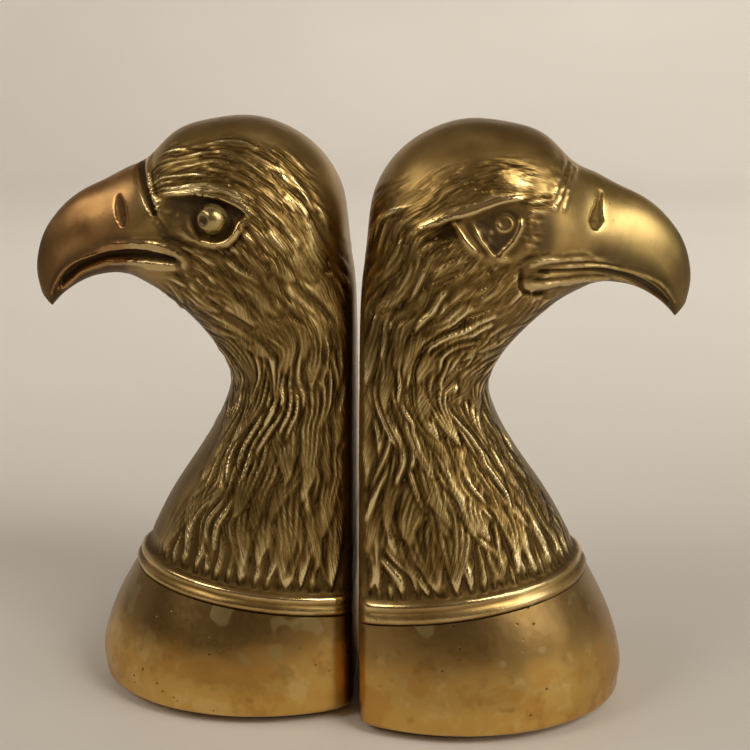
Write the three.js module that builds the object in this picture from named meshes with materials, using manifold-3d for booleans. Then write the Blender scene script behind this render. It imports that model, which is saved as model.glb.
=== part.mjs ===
// A pair of cast brass bookends: two eagle heads that stand back to back, with books between them.
// Units are millimetres, +Z is up, and the origin is on the shelf, midway between the two backs.
// Each bookend is drawn in its own frame: X runs forward from its flat back to the beak, Y is
// sideways, Z is up from the shelf. The left bookend is the right one turned half a turn about Z.

import * as THREE from 'three';
import { mergeVertices } from 'three/addons/utils/BufferGeometryUtils.js';
import Module from 'manifold-3d';

const wasm = await Module();
wasm.setup();

// ---- driving dimensions -------------------------------------------------------------------

const BACK_GAP = 2.4;          // between the two flat backs when the pair is pushed together
const STAGGER = 5.4;           // each bookend stands this far off the common centre line
const COLLAR_LIFT = { left: -1.2, right: 1.2 };   // the two collars were ground to unlike heights

const WALL = 4.2;              // thickness of the brass
const JOINT_GAP = 0.3;         // clearance between pieces that touch
const SPIGOT_DEPTH = 5;        // how far the eagle's spigot reaches down into the plinth

const FELT_THICKNESS = 1.2;
const FELT_INSET = 1.0;        // felt edge inside the plinth's flat rim
const BOARD_THICKNESS = 2.8;
const BOARD_INSET = 4.0;       // board edge inside the plinth's flat rim
const RIM_Z = FELT_THICKNESS + JOINT_GAP;

const RING_STEPS = 32;         // points round one section

// The collar stands higher at the breast than at the back. LIFT_TOP is the height where the
// neck has taken up the difference between the two castings.
const LIFT_FULL = 40;
const LIFT_TOP = 95;

// ---- sections -----------------------------------------------------------------------------

// A section is an oval in a plane square to the profile. It runs from its front point to its
// rear point, is 2 * half wide, and is cut flat where it would pass the back plane.
// front and rear are [x, z]; a rear x below zero lies behind the flat back.

// Plinth, from the rim up to the seam under the collar.
const PLINTH_SECTIONS = [
  { front: [71.5, RIM_Z], rear: [-15.5, RIM_Z], half: 37.0 },
  { front: [74.6, 2.4], rear: [-17.6, 2.4], half: 40.0 },
  { front: [76.6, 5.0], rear: [-18.9, 5.0], half: 41.8 },
  { front: [77.2, 9.5], rear: [-19.3, 9.2], half: 42.3 },
  { front: [76.6, 15.0], rear: [-19.3, 13.2], half: 42.0 },
  { front: [74.7, 21.5], rear: [-19.2, 17.8], half: 41.3 },
  { front: [71.8, 28.4], rear: [-19.2, 22.3], half: 40.3 },
  { front: [68.8, 34.0], rear: [-19.3, 26.0], half: 39.2 },
  { front: [66.2, 38.6], rear: [-19.5, 29.2], half: 38.2 },
];
const SEAM = PLINTH_SECTIONS[PLINTH_SECTIONS.length - 1];

// Collar, from the seam up to the foot of the feathers: bead, groove and cove.
const COLLAR_SECTIONS = [
  { front: [66.4, 38.9], rear: [-19.6, 29.5], half: 38.4 },
  { front: [66.8, 40.2], rear: [-19.8, 30.8], half: 38.9 },
  { front: [65.7, 41.7], rear: [-19.4, 32.3], half: 37.8 },
  { front: [64.0, 42.4], rear: [-19.2, 33.1], half: 36.6 },
  { front: [62.3, 45.8], rear: [-18.9, 37.0], half: 35.9 },
];

// Neck, head and beak, from the collar to the hooked tip. The front points run up the throat
// and out under the beak; the rear points run up the nape, over the head and down the beak.
const BIRD_SECTIONS = [
  { front: [60.3, 49.8], rear: [-18.5, 42.0], half: 35.3 },
  { front: [56.0, 58.0], rear: [-18.0, 53.0], half: 34.0 },
  { front: [51.5, 65.0], rear: [-17.0, 64.5], half: 32.8 },
  { front: [46.7, 72.0], rear: [-16.0, 76.0], half: 31.5 },
  { front: [42.0, 79.5], rear: [-14.5, 87.5], half: 30.3 },
  { front: [38.7, 86.3], rear: [-12.3, 99.0], half: 29.3 },
  { front: [36.8, 92.5], rear: [-9.3, 110.5], half: 28.6 },
  { front: [37.4, 98.0], rear: [-4.8, 121.5], half: 28.3 },
  { front: [40.0, 103.2], rear: [0.0, 132.0], half: 28.2 },
  { front: [43.6, 108.0], rear: [3.2, 148.5], half: 28.0 },
  { front: [47.6, 112.2], rear: [9.5, 159.8], half: 27.6 },
  { front: [51.8, 116.0], rear: [18.5, 166.6], half: 26.8 },
  { front: [55.8, 119.2], rear: [30.0, 170.0], half: 25.6 },
  { front: [59.4, 121.4], rear: [41.5, 169.0], half: 23.5 },
  { front: [62.5, 122.9], rear: [52.0, 165.2], half: 20.0 },
  { front: [65.5, 124.0], rear: [59.5, 158.2], half: 16.3 },
  { front: [69.0, 124.5], rear: [65.5, 155.3], half: 13.8 },
  { front: [72.8, 124.2], rear: [71.5, 152.2], half: 12.0 },
  { front: [76.5, 123.4], rear: [77.3, 149.5], half: 10.4 },
  { front: [80.2, 121.9], rear: [82.8, 146.0], half: 8.8 },
  { front: [83.6, 119.9], rear: [87.3, 141.5], half: 7.3 },
  { front: [86.2, 117.9], rear: [90.7, 136.5], half: 5.9 },
  { front: [87.9, 116.2], rear: [92.8, 130.5], half: 4.6 },
  { front: [88.9, 115.1], rear: [93.4, 124.5], half: 3.3 },
  { front: [89.4, 114.5], rear: [92.5, 118.8], half: 1.9 },
];
const CAVITY_TOP = 13;         // the hollow inside follows this many of the bird's sections

// ---- building solids ----------------------------------------------------------------------

// How far a height moves when the collar is lifted: none at the shelf, all of it at the collar,
// and none again at LIFT_TOP.
function lifted(z, lift) {
  if (z <= LIFT_FULL) {
    return z + lift * Math.max(z - RIM_Z, 0) / (LIFT_FULL - RIM_Z);
  }
  const fade = THREE.MathUtils.clamp((LIFT_TOP - z) / (LIFT_TOP - LIFT_FULL), 0, 1);
  return z + lift * fade;
}

// The ring of one section, drawn in by inset all round and cut flat at x = inset.
function ring(section, lift, inset = 0, drop = 0) {
  const [frontX, frontZ] = section.front;
  const [rearX, rearZ] = section.rear;
  const length = Math.hypot(rearX - frontX, rearZ - frontZ);
  const points = [];
  for (let i = 0; i < RING_STEPS; i += 1) {
    const angle = (i / RING_STEPS) * 2 * Math.PI;
    const along = (length / 2) - (length / 2 - inset) * Math.cos(angle);
    const backCut = (frontX - inset) / Math.max(frontX - rearX, 1e-6);
    const t = Math.min(along / length, Math.max(backCut, 0));
    const x = frontX + (rearX - frontX) * t;
    const z = frontZ + (rearZ - frontZ) * t;
    points.push([x, (section.half - inset) * Math.sin(angle), lifted(z, lift) - drop]);
  }
  return points;
}

// A closed solid through rings with equal numbers of points, with flat ends.
function loft(rings) {
  const positions = rings.flat(2);
  const indices = [];
  const count = rings[0].length;
  for (let r = 0; r + 1 < rings.length; r += 1) {
    for (let i = 0; i < count; i += 1) {
      const j = (i + 1) % count;
      const a = r * count + i;
      const b = r * count + j;
      indices.push(a, b, b + count, a, b + count, a + count);
    }
  }
  for (const [r, turn] of [[0, 1], [rings.length - 1, -1]]) {
    const middle = positions.length / 3;
    const sum = rings[r].reduce((s, p) => [s[0] + p[0], s[1] + p[1], s[2] + p[2]], [0, 0, 0]);
    positions.push(sum[0] / count, sum[1] / count, sum[2] / count);
    for (let i = 0; i < count; i += 1) {
      const a = r * count + i;
      const b = r * count + ((i + 1) % count);
      indices.push(middle, ...(turn > 0 ? [b, a] : [a, b]));
    }
  }
  const geometry = new THREE.BufferGeometry();
  geometry.setAttribute('position', new THREE.Float32BufferAttribute(positions, 3));
  geometry.setIndex(indices);
  return mergeVertices(geometry, 1e-4);
}

function toSolid(geometry) {
  const triangles = [];
  const index = geometry.index.array;
  for (let i = 0; i < index.length; i += 3) {
    const [a, b, c] = [index[i], index[i + 1], index[i + 2]];
    if (a !== b && b !== c && c !== a) {
      triangles.push(a, b, c);
    }
  }
  return new wasm.Manifold(new wasm.Mesh({
    numProp: 3,
    vertProperties: Float32Array.from(geometry.attributes.position.array),
    triVerts: Uint32Array.from(triangles),
  }));
}

function toGeometry(solid) {
  const mesh = solid.getMesh();
  const geometry = new THREE.BufferGeometry();
  geometry.setAttribute('position', new THREE.Float32BufferAttribute(mesh.vertProperties, 3));
  geometry.setIndex(Array.from(mesh.triVerts));
  geometry.computeVertexNormals();
  return geometry;
}

// ---- pieces -------------------------------------------------------------------------------

// Head, neck and collar: one hollow casting, open below, with a spigot that enters the plinth.
function eagleCasting(lift) {
  const spigotInset = WALL + JOINT_GAP;
  const seamUp = COLLAR_SECTIONS[0];
  const body = toSolid(loft([
    ring(seamUp, lift, spigotInset, SPIGOT_DEPTH),
    ring(seamUp, lift, spigotInset),
    ...COLLAR_SECTIONS.map((section) => ring(section, lift)),
    ...BIRD_SECTIONS.map((section) => ring(section, lift)),
  ]));
  const wallInset = spigotInset + WALL * 0.7;
  const hollow = toSolid(loft([
    ring(seamUp, lift, wallInset, SPIGOT_DEPTH + 1),
    ring(COLLAR_SECTIONS[3], lift, wallInset),
    ...BIRD_SECTIONS.slice(0, CAVITY_TOP).map((section) => ring(section, lift, WALL * 1.4)),
  ]));
  return toGeometry(body.subtract(hollow));
}

// The flared foot: a hollow casting, open above for the spigot and below for the board.
function plinthCasting(lift) {
  const body = toSolid(loft(PLINTH_SECTIONS.map((section) => ring(section, lift))));
  const rim = PLINTH_SECTIONS[0];
  const seat = BOARD_THICKNESS + JOINT_GAP;
  const mouth = toSolid(loft([
    ring(rim, 0, BOARD_INSET - JOINT_GAP, 1),
    ring(rim, 0, BOARD_INSET - JOINT_GAP, -seat),
  ]));
  const hollow = toSolid(loft([
    ring(rim, 0, BOARD_INSET + 2, 1),
    ring(rim, 0, BOARD_INSET + 2, -seat - 1),
    ring(PLINTH_SECTIONS[3], lift, WALL + 2),
    ...PLINTH_SECTIONS.slice(4, 8).map((section) => ring(section, lift, WALL)),
    ring(SEAM, lift, WALL, -1),
  ]));
  return toGeometry(body.subtract(mouth).subtract(hollow));
}

// A flat D of the rim's outline: the closing board, or the felt under it.
function flatPiece(inset, bottom, thickness) {
  const rim = PLINTH_SECTIONS[0];
  return loft([
    ring(rim, 0, inset, RIM_Z - bottom),
    ring(rim, 0, inset, RIM_Z - bottom - thickness),
  ]);
}

// ---- assembly -----------------------------------------------------------------------------

const agedBrass = new THREE.MeshStandardMaterial({ color: 0x8a6a33, roughness: 0.38, metalness: 1 });
const plinthBrass = new THREE.MeshStandardMaterial({ color: 0x9a7434, roughness: 0.3, metalness: 1 });
const hardboard = new THREE.MeshStandardMaterial({ color: 0x5b4028, roughness: 0.85, metalness: 0 });
const greenFelt = new THREE.MeshStandardMaterial({ color: 0x23402b, roughness: 0.95, metalness: 0 });

function namedMesh(name, geometry, material) {
  const mesh = new THREE.Mesh(geometry, material);
  mesh.name = name;
  return mesh;
}

function bookend(side) {
  const lift = COLLAR_LIFT[side];
  const group = new THREE.Group();
  group.add(namedMesh(`${side}_eagle_casting`, eagleCasting(lift), agedBrass));
  group.add(namedMesh(`${side}_plinth_casting`, plinthCasting(lift), plinthBrass));
  group.add(namedMesh(`${side}_base_board`, flatPiece(BOARD_INSET, RIM_Z, BOARD_THICKNESS), hardboard));
  group.add(namedMesh(`${side}_felt_pad`, flatPiece(FELT_INSET, 0, FELT_THICKNESS), greenFelt));
  const facing = side === 'right' ? 1 : -1;
  group.rotation.z = facing > 0 ? 0 : Math.PI;
  group.position.set(facing * BACK_GAP / 2, -facing * STAGGER, 0);
  return group;
}

const pair = new THREE.Group();
pair.add(bookend('left'));
pair.add(bookend('right'));

export default pair;
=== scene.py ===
"""A pair of cast brass eagle-head bookends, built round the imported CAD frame.

Each bookend is drawn in its own frame in millimetres: X runs forward from its flat back to the
beak, Y is sideways and Z is up from the shelf. place() turns and moves it into the shared frame.
Flank A is the side with +Y and a round drilled eye, flank B is the side with -Y and a flat eye.
"""

import math

import bmesh
import bpy
import numpy as np
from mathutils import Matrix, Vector


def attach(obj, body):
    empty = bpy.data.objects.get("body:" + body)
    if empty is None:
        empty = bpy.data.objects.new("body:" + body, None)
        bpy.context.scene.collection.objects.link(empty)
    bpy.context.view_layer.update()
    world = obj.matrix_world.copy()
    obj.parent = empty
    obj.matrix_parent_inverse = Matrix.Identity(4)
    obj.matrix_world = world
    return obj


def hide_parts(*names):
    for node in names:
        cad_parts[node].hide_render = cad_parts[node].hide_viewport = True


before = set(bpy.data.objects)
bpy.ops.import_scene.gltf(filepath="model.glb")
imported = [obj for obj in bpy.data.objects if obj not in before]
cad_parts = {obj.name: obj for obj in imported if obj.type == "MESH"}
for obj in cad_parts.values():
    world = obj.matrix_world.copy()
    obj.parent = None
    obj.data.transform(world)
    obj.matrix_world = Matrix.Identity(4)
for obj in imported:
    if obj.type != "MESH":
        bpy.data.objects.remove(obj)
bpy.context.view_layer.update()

# ---- sizes of the castings, in millimetres ---------------------------------------------------

MM = 0.001
BACK_GAP = 2.4
STAGGER = 5.4
COLLAR_LIFT = {"left": -1.2, "right": 1.2}
LIFT_FULL = 40.0
LIFT_TOP = 95.0
WALL = 4.2
JOINT_GAP = 0.3
SPIGOT_DEPTH = 5.0
FELT_THICKNESS = 1.2
FELT_INSET = 1.0
BOARD_THICKNESS = 2.8
BOARD_INSET = 4.0
LEDGE = 2.0                    # how far the plinth's ledge reaches in past the board's edge
RIM_Z = FELT_THICKNESS + JOINT_GAP
BACK_ROUND = 2.6               # rounding of the upright corners between flank and flat back

# Sections through the castings: front point, rear point (both x, z in the profile plane),
# half width, and where the section is widest, from 0 at the front to 1 at the rear.
PLINTH = [
    ((71.5, RIM_Z), (-15.5, RIM_Z), 37.0, 0.5),
    ((74.6, 2.4), (-17.6, 2.4), 40.0, 0.5),
    ((76.6, 5.0), (-18.9, 5.0), 41.8, 0.5),
    ((77.2, 9.5), (-19.3, 9.2), 42.3, 0.5),
    ((76.6, 15.0), (-19.3, 13.2), 42.0, 0.5),
    ((74.7, 21.5), (-19.2, 17.8), 41.3, 0.5),
    ((71.8, 28.4), (-19.2, 22.3), 40.3, 0.5),
    ((68.8, 34.0), (-19.3, 26.0), 39.2, 0.5),
    ((66.2, 38.6), (-19.5, 29.2), 38.2, 0.5),
]
SEAM = ((66.4, 38.9), (-19.6, 29.5), 38.2, 0.5)
BIRD = [
    SEAM,
    ((63.6, 43.6), (-19.0, 35.2), 36.6, 0.5),
    ((60.3, 49.8), (-18.5, 42.0), 35.3, 0.5),
    ((56.0, 58.0), (-18.0, 53.0), 34.0, 0.5),
    ((51.5, 65.0), (-17.0, 64.5), 32.8, 0.5),
    ((46.7, 72.0), (-16.0, 76.0), 31.5, 0.5),
    ((42.0, 79.5), (-14.5, 87.5), 30.3, 0.5),
    ((38.7, 86.3), (-12.3, 99.0), 29.3, 0.5),
    ((36.8, 92.5), (-9.3, 110.5), 28.6, 0.5),
    ((37.4, 98.0), (-4.8, 121.5), 28.3, 0.5),
    ((40.0, 103.2), (0.0, 132.0), 28.2, 0.5),
    ((43.6, 108.0), (3.2, 148.5), 28.0, 0.5),
    ((47.6, 112.2), (9.5, 159.8), 27.6, 0.5),
    ((51.8, 116.0), (18.5, 166.6), 26.8, 0.52),
    ((55.8, 119.2), (30.0, 170.0), 25.6, 0.53),
    ((59.4, 121.4), (41.5, 169.0), 23.3, 0.52),
    ((62.5, 122.9), (52.0, 165.2), 19.8, 0.48),
    ((65.5, 124.0), (59.5, 158.2), 16.3, 0.44),
    ((69.0, 124.5), (65.5, 155.3), 13.8, 0.42),
    ((72.8, 124.2), (71.5, 152.2), 12.0, 0.42),
    ((76.5, 123.4), (77.3, 149.5), 10.4, 0.43),
    ((80.2, 121.9), (82.8, 146.0), 8.8, 0.45),
    ((83.6, 119.9), (87.3, 141.5), 7.3, 0.46),
    ((86.2, 117.9), (90.7, 136.5), 5.9, 0.48),
    ((87.9, 116.2), (92.8, 130.5), 4.6, 0.5),
    ((88.9, 115.1), (93.4, 124.5), 3.3, 0.5),
    ((89.4, 114.5), (92.5, 118.8), 1.6, 0.5),
]
CERE_SECTION = 17              # the section where the feathers end and the beak begins
NECK_SECTION = 9               # the section where the head runs into the neck

HALF_RING = 180                # steps from the front point round one flank to the rear point
PLINTH_HALF_RING = 130
FLAT_HALF_RING = 72            # for the board and the felt
BACK_SHARE = 0.12              # spacing weight on the flat back, which needs few points
COLLAR_STEP, NECK_STEP, HEAD_STEP, BEAK_STEP = 0.45, 0.68, 0.38, 0.36
COLLAR_END = 11.0              # how far up the run the collar's fine steps go
CURVE_STEPS = 8                # steps between two points of a smooth line
CHANNEL_WALL = 0.45            # half the width of a groove's sloping side


# ---- small numeric tools ---------------------------------------------------------------------

def spline(knots, values, at):
    """Natural cubic spline through values (n, k) at knots (n), read at the points in at."""
    knots, values = np.asarray(knots, float), np.asarray(values, float)
    count = len(knots)
    step = np.diff(knots)
    slope = np.diff(values, axis=0) / step[:, None]
    matrix = np.zeros((count, count))
    right = np.zeros_like(values)
    matrix[0, 0] = matrix[-1, -1] = 1.0
    for i in range(1, count - 1):
        matrix[i, i - 1:i + 2] = step[i - 1], 2 * (step[i - 1] + step[i]), step[i]
        right[i] = 6 * (slope[i] - slope[i - 1])
    bend = np.linalg.solve(matrix, right)
    cell = np.clip(np.searchsorted(knots, at) - 1, 0, count - 2)
    h = step[cell][:, None]
    a = (knots[cell + 1] - at)[:, None]
    b = (at - knots[cell])[:, None]
    return (bend[cell] * a ** 3 + bend[cell + 1] * b ** 3) / (6 * h) \
        + (values[cell] / h - bend[cell] * h / 6) * a \
        + (values[cell + 1] / h - bend[cell + 1] * h / 6) * b


def smooth(low, high, value):
    """0 below low, 1 above high, and an even S between them. low may be above high."""
    t = np.clip((value - low) / (high - low), 0.0, 1.0)
    return t * t * (3 - 2 * t)


def soft_min(a, b, width):
    """The smaller of two values, rounded off where they are closer than width."""
    near = np.maximum(width - np.abs(a - b), 0.0) / width
    return np.minimum(a, b) - near * near * width / 4


def value_noise(x, y, seed):
    """Smooth noise from -1 to 1 on a lattice of unit cells."""
    cell_x, cell_y = np.floor(x).astype(np.int64), np.floor(y).astype(np.int64)
    fx, fy = x - cell_x, y - cell_y
    fx, fy = fx * fx * (3 - 2 * fx), fy * fy * (3 - 2 * fy)

    def corner(i, j):
        h = (cell_x + i) * 374761393 + (cell_y + j) * 668265263 + seed * 974634777
        h = (h ^ (h >> 13)) * 1274126177
        return ((h ^ (h >> 16)) & 0xFFFF) / 32767.5 - 1.0

    low = corner(0, 0) * (1 - fx) + corner(1, 0) * fx
    high = corner(0, 1) * (1 - fx) + corner(1, 1) * fx
    return low * (1 - fy) + high * fy


def run_along(points):
    """Distance along a line from its first point to each of its points."""
    return np.concatenate([[0], np.cumsum(np.linalg.norm(np.diff(points, axis=0), axis=1))])


def curve_points(points):
    """A smooth open line through a few points."""
    points = np.asarray(points, float)
    knots = run_along(points)
    return spline(knots, points, np.linspace(0, knots[-1], CURVE_STEPS * (len(points) - 1) + 1))


def along_line(x, z, points, closed=False):
    """Distance to a smooth line, the place along it from 0 to 1, and the signed side."""
    line = curve_points(points)
    if closed:
        line = np.vstack([line, line[:1]])
    run = run_along(line)
    best = np.full(x.shape, 1e9)
    place = np.zeros(x.shape)
    side = np.zeros(x.shape)
    for i in range(len(line) - 1):
        (ax, az), (bx, bz) = line[i], line[i + 1]
        dx, dz = bx - ax, bz - az
        length2 = dx * dx + dz * dz + 1e-12
        t = np.clip(((x - ax) * dx + (z - az) * dz) / length2, 0, 1)
        px, pz = x - (ax + dx * t), z - (az + dz * t)
        distance = np.hypot(px, pz)
        closer = distance < best
        best = np.where(closer, distance, best)
        place = np.where(closer, (run[i] + t * math.sqrt(length2)) / run[-1], place)
        side = np.where(closer, np.sign(dx * pz - dz * px), side)
    return best, place, side * best


def lifted(z, lift):
    """Moves heights so that the collar is lifted: none at the shelf, all at the collar."""
    below = lift * np.maximum(z - RIM_Z, 0) / (LIFT_FULL - RIM_Z)
    above = lift * np.clip((LIFT_TOP - z) / (LIFT_TOP - LIFT_FULL), 0, 1)
    return z + np.where(z <= LIFT_FULL, below, above)


# ---- the smooth castings ---------------------------------------------------------------------

def section_table(sections):
    """The sections as rows of numbers, and the distance along their middles."""
    table = np.array([[*front, *rear, half, belly] for front, rear, half, belly in sections])
    middle = (table[:, 0:2] + table[:, 2:4]) / 2
    return table, run_along(middle)


def ring_rows(sections, at, half_ring, inset=0.0, squareness=None):
    """Rings of points at the given distances along the run of the sections.

    Returns the points (rows, 2 * half_ring, 3), and for each point its distance from the rear
    and from the front edge, measured in the profile plane.
    """
    table, run = section_table(sections)
    rows = spline(run, table, at)
    fine = np.linspace(0, math.pi, 700)[None, :]
    fx, fz, rx, rz, half, belly = (rows[:, i:i + 1] for i in range(6))
    length = np.hypot(rx - fx, rz - fz)
    power = np.ones_like(fx) if squareness is None else squareness(at)[:, None]
    forward = belly * (1 - np.cos(fine))
    rearward = belly - (1 - belly) * np.cos(fine)
    reach = np.where(fine < math.pi / 2, forward, rearward)
    run_in = inset + reach * (length - 2 * inset)
    leaning = fx - rx > 1.0
    cut = np.where(leaning, length * (fx - inset) / np.where(leaning, fx - rx, 1.0), 1e3)
    run_in = soft_min(run_in, cut, 2 * BACK_ROUND)
    x = fx + (rx - fx) * run_in / length
    z = fz + (rz - fz) * run_in / length
    y = np.maximum(half - inset, 0.2) * np.sin(fine) ** power
    rear_edge = np.minimum(cut, length)

    gap = np.sqrt(np.diff(x) ** 2 + np.diff(y) ** 2 + np.diff(z) ** 2)
    weight = (BACK_SHARE + (1 - BACK_SHARE) * smooth(0.0, 5.0, cut - run_in[:, 1:])) * gap
    grown = np.concatenate([np.zeros((len(at), 1)), np.cumsum(weight, axis=1)], axis=1)
    points = np.zeros((len(at), 2 * half_ring, 3))
    from_rear = np.zeros((len(at), 2 * half_ring))
    from_front = np.zeros_like(from_rear)
    columns = np.arange(grown.shape[1])
    for r in range(len(at)):
        want = np.linspace(0, grown[r, -1], half_ring + 1)
        spot = np.interp(want, grown[r], columns)
        px, py, pz = (np.interp(spot, columns, line[r]) for line in (x, y, z))
        py[0] = py[-1] = 0.0
        back_from_front = np.interp(spot, columns, run_in[r])
        one = np.stack([px, py, pz], axis=1)
        other = one[-2:0:-1] * (1, -1, 1)
        points[r] = np.vstack([one, other])
        from_front[r] = np.concatenate([back_from_front, back_from_front[-2:0:-1]])
        from_rear[r] = rear_edge[r, 0] - from_front[r]
    return points, from_rear, from_front


def ring_normals(points):
    """Unit normals of a grid of closed rings, pointing outwards."""
    along = np.gradient(points, axis=0)
    wrapped = np.concatenate([points[:, -1:], points, points[:, :1]], axis=1)
    around = (wrapped[:, 2:] - wrapped[:, :-2]) / 2
    normal = np.cross(around, along)
    size = np.linalg.norm(normal, axis=2, keepdims=True)
    return normal / np.maximum(size, 1e-9)


def bird_steps():
    """Distances along the bird's run: close together at the collar and the head."""
    _, run = section_table(BIRD)
    stops = [0.0, COLLAR_END, run[NECK_SECTION], run[CERE_SECTION], run[-1]]
    steps = [COLLAR_STEP, NECK_STEP, HEAD_STEP, BEAK_STEP]
    parts = [np.linspace(a, b, int(round((b - a) / s)), endpoint=False)
             for a, b, s in zip(stops[:-1], stops[1:], steps)]
    return np.concatenate([*parts, [run[-1]]])


def head_squareness(at):
    """Flanks are flatter on the head than on the neck and the beak."""
    _, run = section_table(BIRD)
    head = smooth(run[8], run[11], at) * (1 - smooth(run[15], run[19], at))
    return 1.0 - 0.16 * head


# ---- worked detail: every height in millimetres outwards from the smooth casting ----------------

def ridge(distance, height, width):
    """A rounded ridge over a line, from the distance to that line."""
    return height * np.exp(-(distance / width) ** 2)


def oval(x, z, middle, reach, lean=0.0):
    """0 at the middle of an oval and 1 on its edge. lean slants its upper part to the rear."""
    dx, dz = x - middle[0], z - middle[1]
    return np.hypot((dx + lean * dz) / reach[0], dz / reach[1])


def tapered(place, start, end):
    """Fades a line in and out at its two ends."""
    return smooth(0, start, place) * (1 - smooth(1 - end, 1, place))


def stroke(x, z, line):
    """A ridge along a line of points, or a groove where the height is negative."""
    points, height, width, start, end = line
    distance, place, _ = along_line(x, z, points)
    return ridge(distance, height, width) * tapered(place, start, end)


def channel(x, z, points, halves, depth):
    """A flat-bottomed groove whose half width changes along it."""
    distance, place, side = along_line(x, z, points)
    half = np.interp(place, np.linspace(0, 1, len(halves)), halves)
    ends = smooth(0.0, 0.04, place) * smooth(1.0, 0.96, place)
    inside = (1 - smooth(half - CHANNEL_WALL, half + CHANNEL_WALL, distance)) * ends
    return -depth * inside, inside, side / np.maximum(half, 0.2)


def below(x, z, points):
    """How far a point is below a line that runs from front to rear."""
    line = curve_points(points)
    line = line[np.argsort(line[:, 0])]
    return np.interp(x, line[:, 0], line[:, 1]) - z


def ahead(x, z, points):
    """How far a point is in front of a line that runs up and down."""
    line = curve_points(points)
    line = line[np.argsort(line[:, 1])]
    return x - np.interp(z, line[:, 1], line[:, 0])


class Face:
    """Places of one flank's features in the profile plane, in millimetres."""

    def __init__(self, **places):
        self.__dict__.update(places)


FACE_A = Face(
    # each stroke: points, height, width, fading length at its start and at its end
    strokes=[
        ([(63.3, 137.0), (59.5, 137.6), (54.8, 137.9), (51.2, 137.8)], 0.28, 0.5, 0.2, 0.2),
        ([(51.3, 132.0), (53.6, 132.9), (56.7, 133.4), (59.8, 133.5), (66.2, 133.0),
          (70.9, 132.1), (75.7, 130.7), (79.5, 129.3), (82.1, 127.7), (84.7, 125.4),
          (86.6, 122.8), (88.2, 119.9), (89.3, 117.0)], 0.5, 0.5, 0.06, 0.05),
        ([(46.8, 129.6), (50.2, 128.6), (54.1, 128.5), (60.6, 128.1)], 0.45, 0.45, 0.1, 0.3),
        ([(58.6, 159.6), (58.4, 156.2), (57.6, 154.1), (56.6, 151.9), (54.9, 148.2),
          (53.8, 144.9)], 0.26, 0.45, 0.05, 0.3),
        ([(57.6, 159.5), (57.1, 155.9), (55.9, 152.6), (54.0, 148.4)], -0.6, 0.5, 0.05, 0.1),
        ([(54.7, 144.3), (52.8, 141.6), (51.0, 138.8)], -0.45, 0.45, 0.05, 0.2),
    ],
    rough_lips=[
        ([(74.4, 133.0), (68.6, 134.4), (64.5, 134.9), (59.6, 135.5), (56.4, 135.8),
          (53.5, 135.4), (50.6, 134.5), (48.4, 133.3), (46.9, 131.9), (46.5, 130.4),
          (47.6, 129.2)], 0.75, 0.95, 0.3, 0.03),
        ([(48.5, 129.7), (52.4, 130.1), (57.1, 130.1), (61.9, 129.8), (67.5, 129.0),
          (72.7, 127.9)], 0.55, 0.7, 0.05, 0.3),
    ],
    slit=([(48.6, 130.9), (52.3, 131.5), (56.9, 131.9), (61.5, 131.9), (66.5, 131.3),
           (71.1, 130.4), (76.0, 128.5), (79.9, 126.7), (83.2, 123.7), (86.4, 120.0)],
          (0.3, 1.15, 1.5, 1.55, 1.45, 1.3, 1.25, 1.3, 1.25, 0.7), 2.6),
    cere_groove=([(61.9, 158.6), (61.0, 156.3), (59.4, 152.6), (57.7, 149.3), (56.0, 146.2),
                  (54.5, 143.8)], (1.15, 1.1, 1.0, 0.9, 0.8, 0.55), 1.5),
    nostril=([(66.9, 148.6), (66.4, 146.2), (65.9, 143.8), (65.3, 141.4), (65.0, 139.7)],
             (0.1, 1.0, 1.35, 1.2, 0.3), 1.7),
    nostril_slope=0.75,
    brow=[(52.4, 149.6), (49.8, 150.0), (47.1, 150.1), (44.1, 150.3), (41.4, 150.1),
          (38.5, 149.7), (35.8, 149.1), (33.1, 148.1), (30.3, 146.5), (28.3, 144.8),
          (27.2, 143.4)],
    socket_rim=[(52.8, 139.6), (50.0, 139.4), (46.8, 138.4), (44.0, 137.8), (41.2, 137.4),
                (37.8, 136.8), (35.4, 137.1), (33.8, 138.0), (32.6, 139.3), (31.7, 140.8),
                (30.9, 142.4), (29.0, 143.5)],
    socket_depth=2.3,
    ball=((38.4, 143.5), 4.5),
    pupil=((40.3, 143.4), 1.6),
    lid=[(41.8, 138.6), (40.2, 137.7), (37.8, 137.0), (35.4, 137.4), (33.8, 138.4),
         (32.6, 139.7), (31.9, 141.2), (31.4, 142.7), (30.4, 143.6), (28.8, 144.0)],
    lid_fold=[(36.4, 135.8), (33.8, 136.6), (32.2, 138.0), (31.0, 139.5), (30.1, 141.2),
              (29.4, 142.8)],
    cere_line=[(58.3, 161.0), (58.6, 155.2), (57.7, 149.0), (55.6, 144.5), (52.9, 138.7),
               (49.4, 134.4)],
    crown_strip=(3.6, 7.4),
    crown_down_to=124.0,
    chest_strip=(2.5, 8.0),
    collar_wear=0.0,
)
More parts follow.
